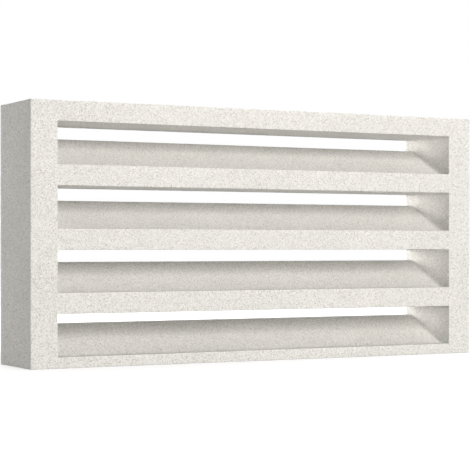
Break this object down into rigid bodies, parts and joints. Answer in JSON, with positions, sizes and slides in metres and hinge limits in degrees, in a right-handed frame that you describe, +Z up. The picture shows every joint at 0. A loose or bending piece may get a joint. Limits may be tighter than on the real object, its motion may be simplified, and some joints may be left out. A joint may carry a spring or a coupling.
{
  "type": "decorative screen block",
  "caption": "Cast concrete louvre screen block: a rectangular block with long slots through it whose floors ramp up to a narrow gap at the back, for screens that pass light and air.",
  "frame": {"origin": "middle of the bed face, the long narrow face that the block stands on", "axes": "+X along the block's length, +Y from the front face with the wide slot mouths to the back, +Z up"},
  "size_m": [0.5, 0.08, 0.25],
  "materials": {
    "white_concrete": "cast white concrete, matt, fine sand grain"
  },
  "bodies": {
    "root": {"screen_block": "white_concrete"}
  },
  "joints": []
}
